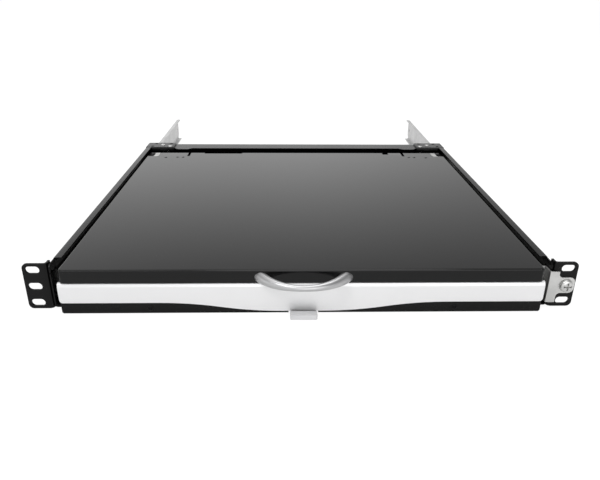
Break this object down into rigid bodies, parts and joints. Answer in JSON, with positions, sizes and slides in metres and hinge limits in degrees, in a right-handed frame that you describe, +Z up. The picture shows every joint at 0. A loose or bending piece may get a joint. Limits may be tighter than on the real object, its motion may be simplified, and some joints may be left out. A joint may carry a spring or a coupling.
{
  "type": "rack-mount lcd console drawer",
  "caption": "Rack drawer holding a keyboard and a fold-up flat display, on ball-bearing slides, with slotted ears, an arch handle and rear support rails.",
  "frame": {"origin": "centre of the four outer rack slots, on the front face of the ears", "axes": "+X to the right seen from the front, +Y to the rear of the rack, +Z up"},
  "size_m": [0.4826, 0.6268, 0.0438],
  "materials": {
    "black_paint": "satin powder coat",
    "lid_paint": "smooth semi-gloss paint",
    "zinc": "zinc plated",
    "galvanised": "galvanised",
    "silver_trim": "silver satin paint",
    "handle_metal": "polished nickel",
    "light_plastic": "smooth",
    "black_plastic": "fine texture",
    "key_plastic": "fine texture",
    "pad_plastic": "very fine texture",
    "rubber": "matt",
    "circuit_board": "solder mask",
    "ball_steel": "polished",
    "screen_glass": "anti-glare",
    "module_plastic": "plain",
    "dark_screw": "black oxide"
  },
  "bodies": {
    "chassis": {"chassis_tray": "black_paint", "ear_left": "black_paint", "ear_right": "black_paint", "gusset_left": "black_paint", "gusset_right": "black_paint", "chassis_fasteners": "zinc", "rear_rail_left": "galvanised", "rear_rail_right": "galvanised", "slide_outer_left": "zinc", "slide_outer_right": "zinc", "io_board": "circuit_board", "console_port": "zinc", "power_jack": "black_plastic"},
    "slide_middles": {"slide_middles": "zinc"},
    "outer_cages": {"outer_ball_cages": "zinc", "outer_balls": "ball_steel"},
    "inner_cages": {"inner_ball_cages": "zinc", "inner_balls": "ball_steel"},
    "drawer": {"drawer_pan": "black_paint", "slide_inner_left": "zinc", "slide_inner_right": "zinc", "front_panel": "black_paint", "front_trim": "silver_trim", "drawer_fasteners": "dark_screw", "lock_bracket": "zinc", "keyboard_deck": "black_plastic", "keyboard_frame": "black_plastic", "keyboard_membrane": "rubber", "keyboard_base": "zinc", "touchpad": "pad_plastic", "control_board": "circuit_board", "hinge_base_left": "dark_screw", "hinge_base_right": "dark_screw", "pivot_pins": "zinc"},
    "lock_screw": {"lock_screw": "zinc"},
    "release_latch": {"release_tab": "light_plastic", "latch_lever": "dark_screw"},
    "catch_hook": {"catch_hook": "zinc"},
    "lid": {"lid_cover": "lid_paint", "lid_bezel": "black_plastic", "display_glass": "screen_glass", "display_module": "module_plastic", "display_board": "circuit_board", "handle": "handle_metal", "lid_fasteners": "dark_screw", "hinge_arm_left": "zinc", "hinge_arm_right": "zinc", "lid_bumpers": "rubber"},
    "key_row_function": {"key_row_function": "key_plastic"},
    "key_row_number": {"key_row_number": "key_plastic"},
    "key_row_upper": {"key_row_upper": "key_plastic"},
    "key_row_home": {"key_row_home": "key_plastic"},
    "key_row_lower": {"key_row_lower": "key_plastic"},
    "key_row_space": {"key_row_space": "key_plastic"},
    "touchpad_button_left": {"touchpad_button_left": "pad_plastic"},
    "touchpad_button_right": {"touchpad_button_right": "pad_plastic"},
    "menu_button": {"menu_button": "key_plastic"},
    "minus_button": {"minus_button": "key_plastic"},
    "plus_button": {"plus_button": "key_plastic"},
    "power_button": {"power_button": "key_plastic"}
  },
  "joints": [
    {"name": "drawer_slide", "type": "slide", "parent": "chassis", "child": "drawer", "axis": [0, -1, 0], "range_m": [0, 0.38]},
    {"name": "slide_middles_run", "type": "slide", "parent": "chassis", "child": "slide_middles", "axis": [0, -1, 0], "range_m": [0, 0.19]},
    {"name": "outer_cages_run", "type": "slide", "parent": "chassis", "child": "outer_cages", "axis": [0, -1, 0], "range_m": [0, 0.095]},
    {"name": "inner_cages_run", "type": "slide", "parent": "chassis", "child": "inner_cages", "axis": [0, -1, 0], "range_m": [0, 0.285]},
    {"name": "lid_hinge", "type": "hinge", "parent": "drawer", "child": "lid", "pos_m": [0, 0.367, 0.0125], "axis": [-1, 0, 0], "range_deg": [0, 108]},
    {"name": "lock_screw_turn", "type": "hinge", "parent": "drawer", "child": "lock_screw", "pos_m": [0.23255, 0, 0], "axis": [0, 1, 0], "continuous": true},
    {"name": "latch_pull", "type": "slide", "parent": "drawer", "child": "release_latch", "axis": [0, -1, 0], "range_m": [0, 0.003], "stiffness_N_per_m": 600, "springref_m": -0.002},
    {"name": "catch_hook_turn", "type": "hinge", "parent": "drawer", "child": "catch_hook", "pos_m": [0, 0.0416, -0.0125], "axis": [1, 0, 0], "range_deg": [0, 22.1]},
    {"name": "key_row_function_press", "type": "slide", "parent": "drawer", "child": "key_row_function", "axis": [0, 0, -1], "range_m": [0, 0.002], "stiffness_N_per_m": 400, "springref_m": -0.003},
    {"name": "key_row_number_press", "type": "slide", "parent": "drawer", "child": "key_row_number", "axis": [0, 0, -1], "range_m": [0, 0.002], "stiffness_N_per_m": 400, "springref_m": -0.003},
    {"name": "key_row_upper_press", "type": "slide", "parent": "drawer", "child": "key_row_upper", "axis": [0, 0, -1], "range_m": [0, 0.002], "stiffness_N_per_m": 400, "springref_m": -0.003},
    {"name": "key_row_home_press", "type": "slide", "parent": "drawer", "child": "key_row_home", "axis": [0, 0, -1], "range_m": [0, 0.002], "stiffness_N_per_m": 400, "springref_m": -0.003},
    {"name": "key_row_lower_press", "type": "slide", "parent": "drawer", "child": "key_row_lower", "axis": [0, 0, -1], "range_m": [0, 0.002], "stiffness_N_per_m": 400, "springref_m": -0.003},
    {"name": "key_row_space_press", "type": "slide", "parent": "drawer", "child": "key_row_space", "axis": [0, 0, -1], "range_m": [0, 0.002], "stiffness_N_per_m": 400, "springref_m": -0.003},
    {"name": "touchpad_button_left_press", "type": "slide", "parent": "drawer", "child": "touchpad_button_left", "axis": [0, 0, -1], "range_m": [0, 0.001], "stiffness_N_per_m": 300, "springref_m": -0.002},
    {"name": "touchpad_button_right_press", "type": "slide", "parent": "drawer", "child": "touchpad_button_right", "axis": [0, 0, -1], "range_m": [0, 0.001], "stiffness_N_per_m": 300, "springref_m": -0.002},
    {"name": "menu_button_press", "type": "slide", "parent": "lid", "child": "menu_button", "axis": [0, 0, 1], "range_m": [0, 0.0008], "stiffness_N_per_m": 200, "springref_m": -0.001},
    {"name": "minus_button_press", "type": "slide", "parent": "lid", "child": "minus_button", "axis": [0, 0, 1], "range_m": [0, 0.0008], "stiffness_N_per_m": 200, "springref_m": -0.001},
    {"name": "plus_button_press", "type": "slide", "parent": "lid", "child": "plus_button", "axis": [0, 0, 1], "range_m": [0, 0.0008], "stiffness_N_per_m": 200, "springref_m": -0.001},
    {"name": "power_button_press", "type": "slide", "parent": "lid", "child": "power_button", "axis": [0, 0, 1], "range_m": [0, 0.0008], "stiffness_N_per_m": 200, "springref_m": -0.001}
  ],
  "couplings": [
    {"joint": "slide_middles_run", "follows": "drawer_slide", "ratio": 0.5},
    {"joint": "outer_cages_run", "follows": "drawer_slide", "ratio": 0.25},
    {"joint": "inner_cages_run", "follows": "drawer_slide", "ratio": 0.75},
    {"joint": "catch_hook_turn", "follows": "latch_pull", "rad_per_m": 128}
  ]
}
